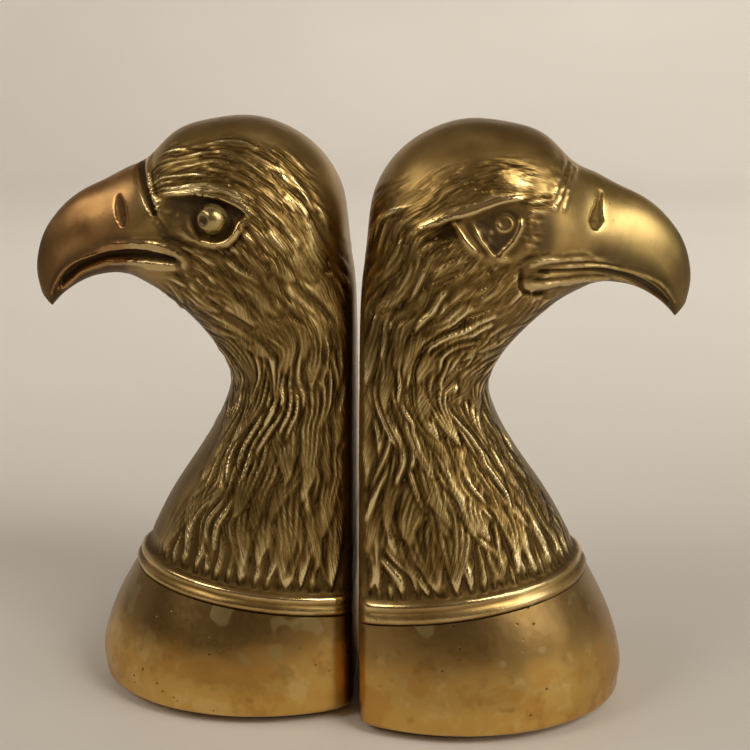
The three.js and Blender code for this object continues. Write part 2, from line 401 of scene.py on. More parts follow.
FACE_B = Face(
    strokes=[
        ([(53.4, 134.8), (57.3, 135.3), (61.0, 135.1), (65.3, 133.5)], 0.3, 0.45, 0.15, 0.2),
        ([(50.4, 131.4), (54.8, 131.4), (60.4, 131.2), (66.4, 130.7), (72.2, 129.4),
          (78.1, 127.7), (82.5, 125.8), (85.6, 123.4), (87.9, 120.3), (89.4, 117.6)],
         0.5, 0.5, 0.15, 0.05),
        ([(44.3, 132.4), (44.0, 129.9), (44.1, 127.4), (44.7, 125.2), (46.4, 124.0),
          (49.6, 123.6), (53.0, 124.0)], -0.9, 0.55, 0.15, 0.2),
        ([(46.5, 129.6), (51.6, 129.2), (56.8, 129.0), (60.5, 128.8)], 0.3, 0.5, 0.15, 0.3),
        ([(47.6, 131.7), (52.4, 132.4), (60.1, 132.3), (68.0, 131.0), (75.6, 128.7)],
         -0.4, 0.4, 0.1, 0.2),
        ([(46.6, 127.9), (52.0, 127.8), (60.0, 128.0), (68.0, 127.3), (74.0, 126.0)],
         -0.4, 0.4, 0.1, 0.2),
        ([(58.3, 158.6), (57.2, 156.4), (56.4, 154.7), (55.1, 152.5), (54.2, 150.2),
          (53.1, 148.3), (52.0, 146.9)], 1.15, 0.5, 0.05, 0.1),
        ([(56.7, 160.2), (55.4, 157.6), (54.3, 154.9), (53.2, 151.7), (52.0, 149.1)],
         0.7, 0.5, 0.1, 0.1),
        ([(59.6, 157.9), (58.6, 155.8), (57.4, 153.6), (56.5, 151.3), (55.8, 148.9),
          (54.6, 146.2)], 0.8, 0.45, 0.1, 0.15),
        ([(57.5, 159.4), (56.2, 156.8), (55.3, 154.8), (54.2, 152.0), (53.0, 149.4)],
         -0.7, 0.4, 0.1, 0.1),
        ([(58.8, 158.3), (57.8, 156.0), (56.8, 154.0), (55.8, 151.6), (54.9, 149.2),
          (53.7, 146.8)], -0.6, 0.4, 0.1, 0.1),
        ([(30.0, 143.9), (32.3, 145.8), (33.9, 147.0), (35.2, 147.7), (37.0, 148.4),
          (39.1, 148.9), (42.0, 149.1)], -0.6, 0.5, 0.1, 0.2),
        ([(24.6, 145.2), (25.9, 143.5), (27.9, 141.3), (28.9, 139.6), (30.3, 138.0),
          (32.6, 136.2)], 0.95, 0.9, 0.15, 0.15),
        ([(28.0, 144.8), (30.0, 141.2), (32.2, 138.2), (34.8, 135.4)], -0.7, 1.0, 0.15, 0.15),
        ([(43.3, 145.6), (43.2, 142.9), (42.2, 140.6), (40.7, 138.4), (38.9, 136.6),
          (36.9, 135.0)], 0.55, 0.6, 0.1, 0.1),
        ([(44.9, 146.0), (44.9, 142.6), (43.7, 139.5), (41.8, 136.9), (39.2, 134.8)],
         -0.5, 0.5, 0.2, 0.2),
        ([(30.5, 145.0), (31.4, 143.1), (32.3, 140.9), (33.5, 138.9), (35.2, 136.8),
          (36.9, 135.0)], 0.4, 0.5, 0.1, 0.1),
    ],
    rough_lips=[
        ([(45.6, 131.4), (46.9, 132.5), (50.4, 133.2), (54.6, 133.4), (60.3, 133.2),
          (63.8, 133.0), (66.2, 132.5), (69.7, 131.7), (74.0, 130.6)], 0.6, 0.75, 0.05, 0.4),
        ([(45.6, 126.6), (49.7, 126.4), (52.8, 126.8), (56.6, 126.8), (60.9, 127.0),
          (66.9, 126.6), (70.7, 125.9), (74.6, 124.8)], 0.8, 1.0, 0.08, 0.35),
    ],
    slit=([(48.0, 130.5), (54.8, 130.2), (60.5, 129.9), (66.4, 129.3), (71.0, 128.0),
           (74.9, 126.6), (78.9, 124.5), (82.0, 122.4), (84.8, 119.8), (87.4, 117.2)],
          (0.15, 0.3, 0.35, 0.45, 0.7, 0.95, 1.15, 1.3, 1.3, 0.8), 1.2),
    nostril=([(66.3, 151.4), (66.0, 149.6), (65.7, 147.6), (65.1, 145.2), (64.8, 142.8),
              (64.6, 140.9)], (0.1, 0.35, 0.8, 1.3, 1.75, 0.5), 1.3),
    nostril_slope=0.2,
    brow=[(46.4, 151.3), (45.0, 150.8), (41.9, 150.2), (39.1, 149.6), (36.5, 148.8),
          (34.4, 148.1), (32.0, 147.3), (29.9, 146.7), (27.3, 146.0), (24.5, 145.4),
          (22.7, 144.7), (20.6, 143.8), (17.9, 143.0), (13.9, 142.2)],
    almond=[(30.8, 144.6), (31.4, 143.1), (32.3, 140.9), (33.5, 138.9), (35.0, 137.1),
            (37.3, 135.2), (38.9, 136.8), (40.7, 138.6), (42.2, 140.8), (43.2, 142.9),
            (43.3, 145.1), (42.2, 146.9), (39.1, 147.9), (36.1, 147.3), (33.4, 145.9)],
    iris=((39.3, 144.0), 2.45),
    dot=((38.2, 144.6), 0.5),
    # ovals: middle, reach and lean
    eye_field=((37.8, 142.0), (10.0, 8.2)),
    lid_lumps=((37.0, 133.6), (1.9, 1.0)),
    forehead_boss=((41.6, 155.0), (4.6, 3.4), 0.5),
    cere_line=[(56.7, 161.5), (55.4, 157.6), (54.3, 154.9), (53.2, 151.7), (51.4, 147.4)],
    crown_strip=(7.5, 13.5),
    crown_down_to=152.5,
    chest_strip=(0.2, 1.2),
    collar_wear=1.0,
)


def mouth(x, z, face):
    """Lips with a rough cast edge and the slit between them, running out to the beak's tip."""
    height = np.zeros_like(x)
    near = np.full_like(x, 1e3)
    rough = value_noise(x / 1.6, z / 0.9, 31) + 0.8 * value_noise(x / 0.9, z / 0.9, 32)
    for line in face.rough_lips:
        height += stroke(x, z, line) * (1 + 0.2 * rough)
        near = np.minimum(near, along_line(x, z, line[0])[0])
    height += 0.06 * rough * smooth(2.6, 0.8, near)
    opening, inside, _ = channel(x, z, *face.slit)
    return height * (1 - 0.7 * inside) + opening, near, inside


def nostril(x, z, face):
    """A leaf-shaped hollow that is deepest at its rear wall."""
    depth, inside, across = channel(x, z, *face.nostril)
    rough = value_noise(x / 0.9, z / 0.9, 41)
    floor = 1 - face.nostril_slope * (0.5 + 0.5 * np.clip(across, -1, 1)) + 0.22 * rough
    return depth * np.clip(floor, 0.15, 1.2), inside


PUPIL_SHADE = 3.4               # painted shade in the drilled pupil, more than 1 so that it stays dark on the raised ball


def eye_a(x, z, face):
    """A round ball in a deep socket under a thin sharp brow, with a rolled lower lid."""
    brow, place, _ = along_line(x, z, face.brow)
    side = below(x, z, face.brow)
    rim, rim_place, _ = along_line(x, z, face.socket_rim)
    above_rim = -below(x, z, face.socket_rim)
    soft = 1.3 + 6.5 * smooth(41.0, 46.0, x)
    hollow = smooth(0.0, 1.1, side) * smooth(-0.2, soft, above_rim) * smooth(28.0, 30.5, x) \
        * (1 - smooth(49.5, 53.5, x))
    deep = hollow * (1 - 0.6 * smooth(43.0, 48.5, x))
    rough = value_noise(x / 1.7, z / 1.0, 51) + 0.6 * value_noise(x / 0.9, z / 0.9, 52)
    height = ridge(brow, 0.75, 0.55) * tapered(place, 0.12, 0.1)
    height -= deep * face.socket_depth + 0.26 * rough * hollow * smooth(41.0, 45.0, x)
    height -= ridge(side - 1.8, 0.6, 1.2) * deep
    (bx, bz), radius = face.ball
    from_ball = np.hypot(x - bx, z - bz)
    ball = -2.25 + 1.05 * np.sqrt(np.maximum(radius ** 2 - from_ball ** 2, 0.0))
    outer = height - ridge(from_ball - radius - 0.5, 0.5, 0.5) * hollow
    lower_side = smooth(2.0, -2.0, (z - bz) + 0.8 * (x - bx))
    outer += ridge(from_ball - radius - 1.3, 0.4, 0.4) * lower_side * hollow
    height = np.where(from_ball < radius, np.maximum(ball, -2.3), outer)
    (px, pz), pupil_radius = face.pupil
    from_pupil = np.hypot(x - px, z - pz)
    height -= 1.2 * (1 - smooth(pupil_radius - 0.7, pupil_radius + 0.2, from_pupil))
    height += ridge(from_pupil - pupil_radius - 0.5, 0.18, 0.35) * (from_ball < radius - 0.5)
    lid, lid_place, _ = along_line(x, z, face.lid)
    fold, fold_place, _ = along_line(x, z, face.lid_fold)
    height += ridge(lid, 1.35, 0.75) * tapered(lid_place, 0.22, 0.1)
    height += ridge(fold, 0.5, 0.5) * tapered(fold_place, 0.25, 0.2)
    height -= ridge(rim - 1.9, 0.5, 0.55) * (above_rim < 0) * tapered(rim_place, 0.3, 0.1)
    polish = 1 - smooth(radius - 0.5, radius, from_ball)
    pit = 1 - smooth(pupil_radius - 0.2, pupil_radius + 0.3, from_pupil)
    on_lid = np.exp(-(np.minimum(lid, fold) / 0.9) ** 2)
    # Painted shade: the socket, its front and the drilled pupil are darkened, over patina in the
    # hollow. It is also darker just above the front of the brow.
    shade_and_hollow_patina = np.maximum(hollow * (1 - polish) * (1 - 0.8 * on_lid), PUPIL_SHADE * pit)
    forward = smooth(40.5, 44.0, x) * (1 - smooth(52.0, 56.0, x))
    shade_and_hollow_patina = np.maximum(shade_and_hollow_patina, 0.8 * forward * smooth(5.0, 1.0, np.abs(above_rim)))
    shade_and_hollow_patina = np.maximum(shade_and_hollow_patina, 0.45 * forward * smooth(3.5, 0.8, -side) * (side < 0))
    edge = 0.85 * smooth(1.3, 0.5, brow) * tapered(place, 0.1, 0.1)
    outside = smooth(2.0, 1.0, rim) * (1 - forward)
    below_brow = np.maximum.reduce([hollow, outside, forward * smooth(-1.5, 0.5, above_rim)])
    bare = np.where(side < 0.0, edge, below_brow)
    return height, shade_and_hollow_patina, polish * (1 - pit), bare


def eye_b(x, z, face):
    """A flat, worn, almond-shaped eye under a long rounded brow."""
    brow, place, _ = along_line(x, z, face.brow)
    side = below(x, z, face.brow)
    fade = tapered(place, 0.14, 0.2)
    height = (ridge(brow, 0.7, 1.6) * (side < 0) + ridge(brow, 0.7, 0.45) * (side >= 0)) * fade
    height -= 0.8 * smooth(-0.1, 0.9, side) * (1 - smooth(2.5, 8.0, brow)) * fade \
        * smooth(16.0, 26.0, x)
    rim, _, rim_side = along_line(x, z, face.almond, closed=True)
    inside = smooth(0.1, 0.7, rim) * (rim_side > 0)
    rough = value_noise(x / 1.2, z / 1.2, 61) + 0.8 * value_noise(x / 0.8, z / 0.8, 62)
    (ix, iz), radius = face.iris
    from_iris = np.hypot(x - ix, z - iz)
    worn = inside * smooth(radius, radius + 0.8, from_iris)
    height -= inside * 0.75
    height += 0.4 * rough * worn * smooth(39.5, 35.5, x)
    height += 0.65 * (1 - smooth(radius - 0.35, radius + 0.3, from_iris))
    height += ridge(from_iris - radius + 0.35, 0.3, 0.3)
    (dx, dz), dot_radius = face.dot
    height -= ridge(np.hypot(x - dx, z - dz), 0.5, dot_radius)
    patch = smooth(43.6, 45.2, x) * smooth(135.0, 137.0, z) * (1 - smooth(146.0, 148.0, z))
    fold = np.sin(z * 2 * np.pi / 1.7 + 2.4 * value_noise(x / 3.0, z / 3.0, 63) + 0.3 * x)
    height += patch * (1 - smooth(47.0, 51.5, x)) * (0.17 * fold + 0.2 * rough)
    lumps = smooth(0.1, 0.8, value_noise(x / 1.1, z / 1.1, 64))
    near_lid = 1 - smooth(1.0, 2.6, oval(x, z, *face.lid_lumps))
    height += 0.6 * near_lid * lumps
    boss = oval(x, z, *face.forehead_boss) + 0.12 * rough
    height += 0.42 * (1 - smooth(0.35, 1.25, boss))
    reach = oval(x, z, *face.eye_field)
    edge = 0.7 * (1 - smooth(1.2, 2.8, brow)) * fade
    front = 0.9 * smooth(44.5, 50.5, x)
    bare = np.where(side < 0.0, np.maximum(0.15 + edge, front),
                    1 - smooth(0.95, 1.2, reach)) * smooth(141.0, 146.0, z + 0.7 * (x - 14.0))
    bare = np.maximum(np.maximum(bare, patch), 0.85 * (1 - smooth(0.6, 1.2, boss)))
    # Darker in the rough almond round the iris, over the eye field under the brow and on the folds in
    # front of the eye.
    shade_and_hollow_patina = np.maximum(0.95 * worn, 0.6 * (1 - smooth(0.8, 1.1, reach)) * (side > 0))
    shade_and_hollow_patina = np.maximum(shade_and_hollow_patina, 0.8 * patch * smooth(45.0, 49.0, x) * (1 - smooth(51.0, 55.0, x)))
    return height, shade_and_hollow_patina, np.zeros_like(x), bare


def cere_a(x, z, face):
    """A sharp wedge-shaped groove between beak and feathers."""
    height, inside, _ = channel(x, z, *face.cere_groove)
    return height, inside


def cere_b(x, z, face):
    """Rough casting between the upright ridges."""
    line, place, _ = along_line(x, z, face.cere_line)
    rough = value_noise(x / 0.9, z / 0.9, 77) * np.exp(-((line - 2.2) / 1.8) ** 2)
    return 0.25 * rough * tapered(place, 0.1, 0.1), np.zeros_like(x)


def collar_profile(up, uneven=0.0, worn=0.0):
    """Band, bead and trough of the collar, against the height up the neck from the seam."""
    seam = -0.7 * (1 - 0.6 * worn) * (1 - smooth(0.0, 0.55, up - 0.35 * np.maximum(uneven, 0)))
    up = up + 0.12 * uneven
    band = 0.55 * smooth(-0.1, 0.6, up) * (1 - smooth(2.7, 3.3, up))
    bead_half = np.clip(1 - ((up - 4.4) / 1.35) ** 2, 0, 1)
    trough = -0.45 * smooth(5.2, 6.2, up) * (1 - smooth(7.4, 10.5, up))
    bead = 0.95 * (1 - 0.35 * worn) * np.sqrt(bead_half)
    return seam + band + bead - (1 - 0.5 * worn) * ridge(up - 3.1, 0.35, 0.3) + trough


# ---- feathers ----------------------------------------------------------------------------------

ACROSS = 40.0                  # nominal width of a flank, from its rear edge to its front edge
SWEEP = 17.0                   # how far the feathers drift back across the cheek and the nape
LOCKS = {
    # neck and head: half width, half length, height, row pitch, spacing, bend, share of own ridges
    "A": ((4.4, 16.0, 1.15, 12.0, 1.5, 1.8, 0.75), (2.3, 10.0, 0.84, 6.0, 1.45, 0.8, 0.5)),
    "B": ((3.8, 15.0, 1.2, 10.0, 1.45, 2.4, 0.6), (2.3, 9.0, 0.68, 6.0, 1.45, 1.0, 0.3)),
}
BARB_PITCH = 2.0               # millimetres between the ridges of one lock
TIP_STOP = 6.0                 # the lowest locks end this far above the seam, just off the collar

# Stretches of the run, in millimetres above the seam, over which something comes in. It comes in
# downwards where the first number is the larger one.
SWEEP_IN = (108.0, 56.0)
HEAD_GRAIN_IN = (92.0, 112.0)
HEAD_LOCKS_IN = (84.0, 116.0)
EVEN_WIDTH_IN = (45.0, 78.0)
LOW_GROUND_IN = (60.0, 40.0)
CROWN_IN = (78.0, 96.0)
CHEST_IN = (62.0, 45.0)


class Grain:
    """A repeating tile of long wavy ridges that run along b, fork, and end in points."""

    def __init__(self, seed, pitch, reach):
        self.cells = (384, 512)
        self.pitch = (0.2, 0.4)
        noise = np.random.default_rng(seed).standard_normal(self.cells[::-1])
        across = 2 * np.pi * np.abs(np.fft.fftfreq(self.cells[0], self.pitch[0]))[None, :]
        along = 2 * np.pi * np.fft.fftfreq(self.cells[1], self.pitch[1])[:, None]
        centre = 2 * np.pi / pitch
        band = np.exp(-((across - centre) / (0.24 * centre)) ** 2 / 2 - (along * reach) ** 2 / 2)
        tile = np.real(np.fft.ifft2(np.fft.fft2(noise) * band))
        self.tile = tile / tile.std()

    def at(self, across, b):
        """Ridge height from 0 to 1."""
        i, j = across / self.pitch[0], b / self.pitch[1]
        i0, j0 = np.floor(i).astype(int), np.floor(j).astype(int)
        fi, fj = i - i0, j - j0
        wide, long = self.cells
        i0, i1, j0, j1 = i0 % wide, (i0 + 1) % wide, j0 % long, (j0 + 1) % long
        t = self.tile
        low = t[j0, i0] * (1 - fi) + t[j0, i1] * fi
        high = t[j1, i0] * (1 - fi) + t[j1, i1] * fi
        return (0.5 + 0.5 * np.tanh(1.5 * (low * (1 - fj) + high * fj))) ** 2.6


class Flank:
    """Coordinates of one flank's points: along the bird's run, and across it along the feathers."""

    def __init__(self, run_at, points, from_rear, from_front, seed):
        self.run_at = run_at
        self.x, self.z = points[:, :, 0], points[:, :, 2]
        self.rear, self.front = from_rear, from_front
        self.width = np.maximum(from_rear + from_front, 1.0)
        step = np.linalg.norm(np.diff(points, axis=1), axis=2)
        step *= smooth(0.0, 1.5, from_rear[:, 1:])
        around = np.cumsum(np.pad(step, ((0, 0), (1, 0))), axis=1)
        self.seed = seed
        b = np.repeat(run_at[:, None], from_rear.shape[1], axis=1)
        self.b = b
        upper = smooth(*EVEN_WIDTH_IN, run_at)[:, None]
        arc = np.maximum(around[:, -1:], 1.0)
        self.girth = arc * (1 - upper) + self.width.max(axis=1, keepdims=True) * upper
        self.scale = np.repeat(self.girth / ACROSS, from_rear.shape[1], axis=1)
        share = (1 - around / arc) * (1 - upper) + from_rear / self.width * upper
        plain = ACROSS * share + SWEEP * smooth(*SWEEP_IN, b)
        self.head = smooth(*HEAD_GRAIN_IN, b)
        self.neck_grain = Grain(seed + 2, 1.75, 5.0)
        self.head_grain = Grain(seed + 3, 1.3, 4.0)
        wave = 2.0 * value_noise(plain / 10.0 + 3.1, b / 11.0, seed) \
            + 0.45 * value_noise(plain / 7.0, b / 4.6 + 7.7, seed + 1)
        self.across = plain + wave * (1 - 0.55 * self.head) / np.maximum(self.scale, 0.5)
        self.relief = 0.55 * self.neck_grain.at(self.across, b) * smooth(*LOW_GROUND_IN, b)

    def lock(self, across, middle, half_length, half_width, height, ridges, bend, phase, own):
        """One layered lock of ridged barbs that ends in a point and covers what is below it."""
        low, high = np.searchsorted(self.run_at, (middle - half_length, middle + half_length))
        if high - low < 2:
            return
        rows = slice(low, high)
        t = (middle - self.b[rows]) / half_length
        centre = across + bend * np.sin(2.1 * t + phase)
        reach = half_width * (1 - np.clip(0.5 + 0.5 * t, 0, 1) ** 2.2) ** 0.85 \
            * smooth(-1.8, -0.35, t)
        d = (self.across[rows] - centre) * self.scale[rows]
        within = reach - np.abs(d)
        u = np.clip(d / np.maximum(reach, 0.3), -1, 1)
        level = 0.72 + 0.28 * smooth(-1.0, 0.8, t)
        waver = 0.10 * np.sin(3.0 * t + phase) * (1 - u * u)
        barbs = np.abs(np.cos(np.pi * ridges * (u + 1 + waver) / 2)) ** 3.0
        rim = smooth(0.35, 0.6, reach / ridges)
        barbs = 0.45 * (1 - rim) + rim * barbs
        shift = self.across[rows] - bend * np.sin(2.1 * t + phase) + 9.0 * phase
        along = self.b[rows] + 13.0 * phase
        head = self.head[rows]
        grain = self.neck_grain.at(shift, along) * (1 - head) \
            + self.head_grain.at(shift, along) * head
        barbs = own * barbs + (1 - own) * 1.2 * grain
        fresh = height * level * (0.34 + 0.66 * barbs)
        old = self.relief[rows]
        cover = smooth(-0.25, 0.35, within)
        groove = 0.22 * height * np.exp(-((within + 0.35) / 0.45) ** 2) * (reach > 0.05)
        self.relief[rows] = np.maximum(old + (fresh - old) * cover - groove, -0.3)


def draw_feathers(flank, rng, kind):
    """Lays rows of locks from the collar up to the beak, each row over the one below."""
    _, run = section_table(BIRD)
    top = run[CERE_SECTION] + 2
    neck, head_size = (np.array(v) for v in LOCKS[kind])
    b = TIP_STOP + 0.6 * neck[1]
    while b < top:
        head = smooth(*HEAD_LOCKS_IN, b)
        half_width, half_length, height, pitch, spacing, bend, own = \
            neck * (1 - head) + head_size * head
        width_mm = np.interp(b, flank.run_at, flank.girth[:, 0])
        step = half_width * spacing * ACROSS / width_mm
        sweep = SWEEP * smooth(*SWEEP_IN, b)
        start = rng.uniform(0, 1) * step
        for i in range(int((ACROSS + 8) / step) + 1):
            across = sweep - 4 + start + (i + rng.uniform(-0.3, 0.3)) * step
            share = (across - sweep) / ACROSS
            cheek = head * smooth(0.5, 0.72, share)
            size = (1 - 0.15 * cheek) * rng.uniform(0.75, 1.3)
            ridges = max(2, round(2 * half_width * size / BARB_PITCH))
            length = half_length * rng.uniform(0.8, 1.3)
            lowest = TIP_STOP + length + rng.uniform(0.0, 3.0)
            flank.lock(
                across,
                max(b + rng.uniform(-0.35, 0.35) * pitch, lowest),
                length,
                half_width * size,
                height * (1 - 0.1 * cheek) * rng.uniform(0.8, 1.15),
                ridges,
                bend * rng.uniform(-1, 1),
                rng.uniform(0, 6.28),
                float(rng.random() < own),
            )
        b += pitch


def feather_mask(flank, face, lips_near, bare):
    """1 where feathers are crisp, 0 on the smooth crown, throat strip, collar and beak."""
    b = flank.b
    uneven = value_noise(b / 4.0, flank.rear / 3.0, flank.seed + 5)
    head = smooth(*CROWN_IN, b) * smooth(-5.0, 5.0, flank.z - face.crown_down_to)
    low, high = face.crown_strip
    crown = smooth(low, high, flank.rear + 1.6 * uneven)
    mask = 1 - head * (1 - crown)
    chest_low, chest_high = face.chest_strip
    lower = smooth(*CHEST_IN, b)
    front_low = 0.5 + (chest_low - 0.5) * lower
    front_high = 2.2 + (chest_high - 2.2) * lower
    mask *= smooth(front_low, front_high, flank.front + 1.2 * uneven)
    mask *= smooth(6.0, 7.4, b + 0.5 * uneven)
    mask *= smooth(1.0, 2.4, lips_near)
    return mask * (1 - bare)


def blur(field, rows, columns):
    """Box average over a grid, run twice."""
    for _ in range(2):
        for axis, reach in ((0, rows), (1, columns)):
            pad = [(0, 0), (0, 0)]
            pad[axis] = (reach + 1, reach)
            total = np.cumsum(np.pad(field, pad, mode="edge"), axis=axis)
            upper = np.take(total, np.arange(2 * reach + 1, total.shape[axis]), axis=axis)
            lower = np.take(total, np.arange(0, total.shape[axis] - 2 * reach - 1), axis=axis)
            field = (upper - lower) / (2 * reach + 1)
    return field


def softened(field):
    """Takes out detail as fine as the mesh itself. The columns close on themselves."""
    field = (np.roll(field, 1, axis=1) + 2 * field + np.roll(field, -1, axis=1)) / 4
    padded = np.pad(field, ((1, 1), (0, 0)), mode="edge")
    return (padded[:-2] + 2 * field + padded[2:]) / 4


def work_flank(flank, face, kind):
    """Height of the worked detail over one flank, and the fields that its material reads."""
    rng = np.random.default_rng(flank.seed)
    x, z, b = flank.x, flank.z, flank.b
    _, run = section_table(BIRD)
    work_eye, work_cere = {"A": (eye_a, cere_a), "B": (eye_b, cere_b)}[kind]
    eye, socket, polish, bare = work_eye(x, z, face)
    lips, lips_near, slit = mouth(x, z, face)
    cere, cere_hollow = work_cere(x, z, face)
    nose, nose_hollow = nostril(x, z, face)
    forward = smooth(0.0, 1.0, ahead(x, z, face.cere_line)) * smooth(run[13], run[15], b)
    draw_feathers(flank, rng, kind)
    mask = feather_mask(flank, face, lips_near, bare) * (1 - forward)
    cast = value_noise(x / 2.3, (z + 1.7 * b) / 2.3, flank.seed + 21)
    collar = collar_profile(b, cast, face.collar_wear)
    height = mask * (flank.relief - 0.38) + collar
    on_head = smooth(run[10], run[12], b)
    worked = eye + lips + cere + nose
    for line in face.strokes:
        worked = worked + stroke(x, z, line) * (1 + 0.35 * cast)
    height += on_head * worked
    share = flank.front / flank.width
    beak = smooth(run[CERE_SECTION] - 4, run[CERE_SECTION] + 3, b)
    height += 0.12 * value_noise(x / 7.0, z / 7.0, flank.seed + 9) \
        * smooth(9.0, 14.0, b) * (1 - 0.75 * beak)
    # A touch darker along the crown's top edge: painted reflection of the dim room above.
    crown = smooth(run[11], run[13], b) * (1 - smooth(run[15], run[17], b)) \
        * smooth(9.0, 3.0, flank.rear)
    under = beak * smooth(0.56, 0.30, share + 0.03 * value_noise(x / 6.0, z / 6.0, 91))
    tip = smooth(run[-7], run[-3], b)
    chest = smooth(5.5, 2.0, flank.front) * (1 - beak)
    # Darkening over the face: painted shade in the mouth's slit and from the eye, and darker in the
    # cere groove, the nostril and round the lips.
    shade_and_hollow_patina = np.maximum.reduce([slit, socket, 0.95 * cere_hollow, 0.55 * nose_hollow,
                              0.58 * smooth(3.0, 1.2, lips_near)])
    trough = smooth(5.0, 6.2, b) * (1 - smooth(7.5, 10.5, b)) * (1 - 0.6 * mask)
    drawn = smooth(0.02, 0.15, flank.relief)
    ground = mask * (1 - drawn) * smooth(*LOW_GROUND_IN, b)
    # Darker on the beak's lower part and tip, in the collar's trough and between the feathers, with
    # patina on the chest strip. This also carries the painted shade above and the crown's painted
    # reflection.
    patina_and_painted_shade = np.maximum.reduce([shade_and_hollow_patina * on_head, 0.85 * under, 0.8 * tip, 0.05 * crown,
                                0.6 * chest, 0.65 * trough, 0.6 * ground])
    feathery = mask * (0.2 + 0.8 * drawn)
    return height, feathery, patina_and_painted_shade, polish * on_head


# ---- meshes --------------------------------------------------------------------------------------

def new_mesh_object(name, points, faces, smooth_angle):
    """An object from an (n, 3) array of points in metres and a list of (m, 3 or 4) index arrays."""
    mesh = bpy.data.meshes.new(name)
    loops = np.concatenate([f.ravel() for f in faces]).astype(np.int32)
    sizes = np.concatenate([np.full(len(f), f.shape[1]) for f in faces])
    starts = np.concatenate([[0], np.cumsum(sizes)[:-1]]).astype(np.int32)
    mesh.vertices.add(len(points))
    mesh.vertices.foreach_set("co", np.asarray(points, np.float32).ravel())
    mesh.loops.add(len(loops))
    mesh.loops.foreach_set("vertex_index", loops)
    mesh.polygons.add(len(starts))
    mesh.polygons.foreach_set("loop_start", starts)
    mesh.update(calc_edges=True)
    mesh.validate()
    mesh.polygons.foreach_set("use_smooth", np.ones(len(mesh.polygons), bool))
    mesh.set_sharp_from_angle(angle=math.radians(smooth_angle))
    made = bpy.data.objects.new(name, mesh)
    bpy.context.scene.collection.objects.link(made)
    return made


def skin_faces(rows, columns):
    """Quads between closed rings that are numbered one after another."""
    r = np.arange(rows - 1)[:, None] * columns
    c = np.arange(columns)[None, :]
    n = (c + 1) % columns
    return np.stack([r + c, r + n, r + columns + n, r + columns + c], axis=2).reshape(-1, 4)


def fan(ring_start, columns, tip, flip):
    """Triangles from one ring to the point at its tip."""
    c = np.arange(columns)
    n = (c + 1) % columns
    ends = (n, c) if flip else (c, n)
    return np.stack([ring_start + ends[0], ring_start + ends[1], np.full(columns, tip)], axis=1)


def closed_skin(rings):
    """Points and faces of a closed body through rings, with a fan at each end."""
    rows, columns = rings.shape[:2]
    points = np.vstack([rings.reshape(-1, 3), rings[0].mean(axis=0), rings[-1].mean(axis=0)])
    count = rows * columns
    faces = [skin_faces(rows, columns), fan(0, columns, count, True),
             fan((rows - 1) * columns, columns, count + 1, False)]
    return points, faces


def place(points, side, lift):
    """Bookend frame in millimetres to the shared frame in metres."""
    out = np.array(points, float)
    out[:, 2] = lifted(out[:, 2], lift)
    facing = 1.0 if side == "right" else -1.0
    out[:, 0] = facing * (out[:, 0] + BACK_GAP / 2)
    out[:, 1] = facing * (out[:, 1] - STAGGER)
    return out * MM


def add_attribute(obj, name, values, kind):
    """One value or one vector at each point, for the material to read."""
    data = obj.data.attributes.new(name, kind, "POINT")
    field = "value" if kind == "FLOAT" else "vector"
    data.data.foreach_set(field, np.ascontiguousarray(values, np.float32).ravel())


def dropped(rings, drop):
    """The same rings, lower by drop."""
    return rings - np.array([0.0, 0.0, drop])


